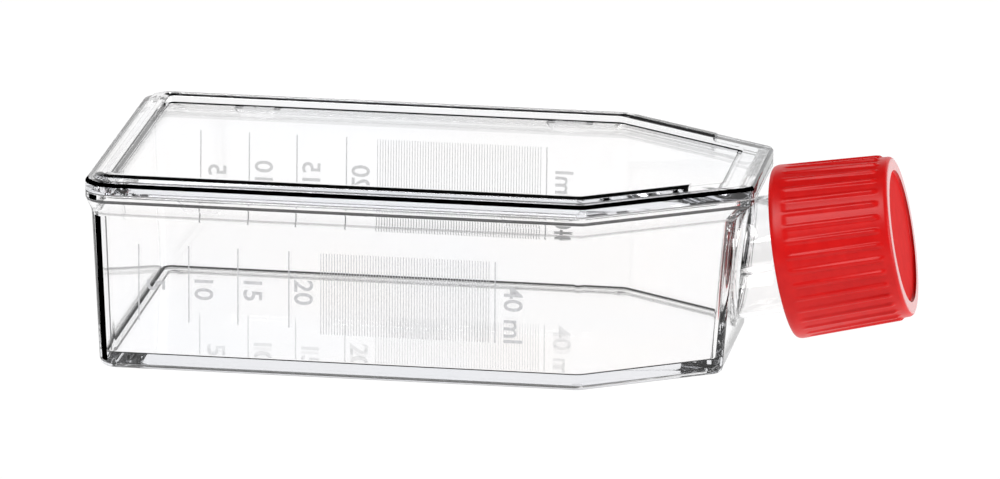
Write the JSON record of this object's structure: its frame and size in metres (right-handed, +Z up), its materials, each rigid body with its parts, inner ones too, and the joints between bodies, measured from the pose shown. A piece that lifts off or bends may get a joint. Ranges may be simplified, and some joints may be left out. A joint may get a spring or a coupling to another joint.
{
  "type": "cell culture flask",
  "caption": "Small clear cell culture flask lying flat, with sloped shoulders, a canted threaded neck and a ribbed red screw cap.",
  "frame": {"origin": "On the bench under the middle of the overall length and width, with the flask lying on its floor", "axes": "+X from the base end towards the neck and cap, +Y across the flask, +Z up out of the top plate"},
  "size_m": [0.0926, 0.042, 0.0236],
  "materials": {
    "clear_polystyrene": "clear moulded polystyrene, polished",
    "red_polyethylene": "moulded polyethylene, semi-gloss",
    "seal_liner": "soft, matte",
    "print_ink": "thin pale screen-print ink"
  },
  "bodies": {
    "flask": {"flask_body": "clear_polystyrene", "top_plate": "clear_polystyrene"},
    "seal": {"seal_disc": "seal_liner"},
    "cap": {"screw_cap": "red_polyethylene"}
  },
  "joints": [
    {"name": "cap_lift", "type": "slide", "parent": "flask", "child": "seal", "axis": [0.9823, 0, 0.1874], "range_m": [0, 0.004]},
    {"name": "cap_turn", "type": "hinge", "parent": "seal", "child": "cap", "pos_m": [0.02622, 0, 0.011], "axis": [0.9823, 0, 0.1874], "range_deg": [0, 450]}
  ],
  "couplings": [
    {"joint": "cap_lift", "follows": "cap_turn", "m_per_rad": 0.0005093}
  ]
}
